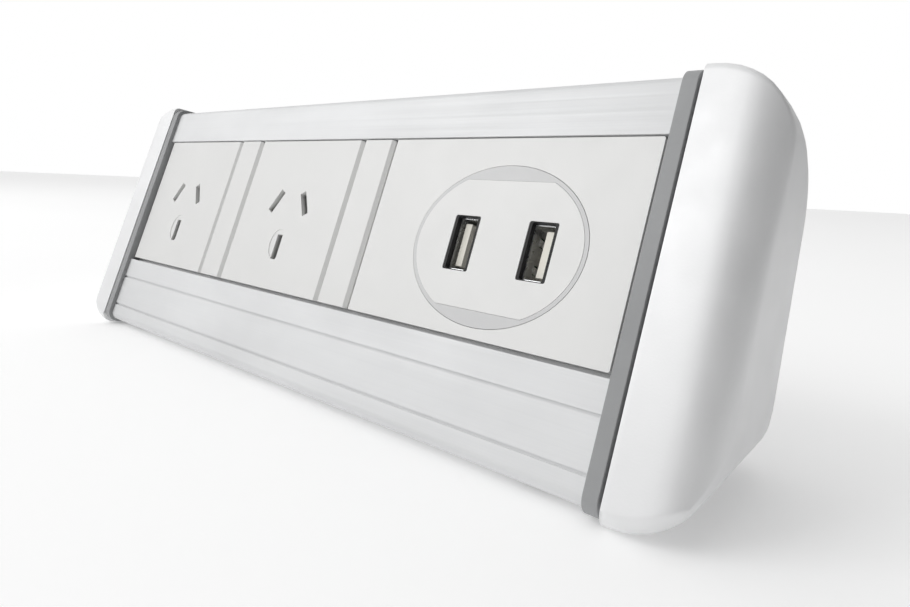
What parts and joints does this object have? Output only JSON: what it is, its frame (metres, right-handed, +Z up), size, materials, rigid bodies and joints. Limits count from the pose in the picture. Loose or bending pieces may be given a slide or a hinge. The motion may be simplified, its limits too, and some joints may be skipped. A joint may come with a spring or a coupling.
{
  "type": "desk power strip",
  "caption": "Leaning desk-top aluminium power strip with shuttered type I sockets, blank spacers, a twin USB plate and moulded end caps.",
  "frame": {"origin": "centre of the footprint, on the surface the feet stand on", "axes": "+Z up, +X along the unit to the right as seen from the front, the front face looks to -Y and leans back"},
  "size_m": [0.2432, 0.0644, 0.0848],
  "materials": {
    "silver_aluminium": "satin anodised",
    "cap_plastic": "satin silver-grey moulding",
    "grey_plastic": "fine matt",
    "foot_rubber": "matt",
    "black_plastic": "satin",
    "zinc_steel": "bright zinc",
    "contact_brass": "bright",
    "ring_plastic": "satin light grey",
    "board": "solder mask",
    "transformer_wrap": "tape",
    "capacitor_sleeve": "shrink sleeve",
    "cream_plastic": "fine matt",
    "brown_insulation": "smooth",
    "blue_insulation": "smooth",
    "green_insulation": "smooth",
    "white_plastic": "satin"
  },
  "bodies": {
    "unit": {"socket_1_faceplate": "white_plastic", "socket_1_housing": "white_plastic", "socket_1_shutter_spring": "zinc_steel", "socket_1_active_contact": "contact_brass", "socket_1_neutral_contact": "contact_brass", "socket_1_earth_contact": "contact_brass", "socket_2_faceplate": "white_plastic", "socket_2_housing": "white_plastic", "socket_2_shutter_spring": "zinc_steel", "socket_2_active_contact": "contact_brass", "socket_2_neutral_contact": "contact_brass", "socket_2_earth_contact": "contact_brass", "spacer_1": "white_plastic", "spacer_2": "white_plastic", "usb_faceplate": "white_plastic", "usb_ring": "ring_plastic", "usb_insert": "white_plastic", "usb_housing": "white_plastic", "usb_board": "board", "usb_port_1_bezel": "black_plastic", "usb_port_1_shell": "zinc_steel", "usb_port_1_tongue": "cream_plastic", "usb_port_2_bezel": "black_plastic", "usb_port_2_shell": "zinc_steel", "usb_port_2_tongue": "cream_plastic", "usb_transformer": "transformer_wrap", "usb_capacitor": "capacitor_sleeve", "body_extrusion": "silver_aluminium", "cable_gland": "black_plastic", "foot_1": "foot_rubber", "foot_2": "foot_rubber", "foot_3": "foot_rubber", "foot_4": "foot_rubber", "left_end_plate": "grey_plastic", "left_end_cap": "cap_plastic", "left_screw_1": "zinc_steel", "left_screw_2": "zinc_steel", "left_screw_3": "zinc_steel", "right_end_plate": "grey_plastic", "right_end_cap": "cap_plastic", "right_screw_1": "zinc_steel", "right_screw_2": "zinc_steel", "right_screw_3": "zinc_steel", "terminal_block": "cream_plastic", "terminal_screw_1": "zinc_steel", "terminal_screw_2": "zinc_steel", "terminal_screw_3": "zinc_steel", "wire_neutral": "blue_insulation", "wire_active": "brown_insulation", "wire_earth": "green_insulation"},
    "shutter_1": {"socket_1_shutter": "white_plastic"},
    "shutter_2": {"socket_2_shutter": "white_plastic"}
  },
  "joints": [
    {"name": "shutter_1_slide", "type": "slide", "parent": "unit", "child": "shutter_1", "axis": [-1, 0, 0], "range_m": [0, 0.0042], "stiffness_N_per_m": 100, "springref_m": -0.002, "deforming": ["socket_1_shutter_spring"]},
    {"name": "shutter_2_slide", "type": "slide", "parent": "unit", "child": "shutter_2", "axis": [-1, 0, 0], "range_m": [0, 0.0042], "stiffness_N_per_m": 100, "springref_m": -0.002, "deforming": ["socket_2_shutter_spring"]}
  ]
}
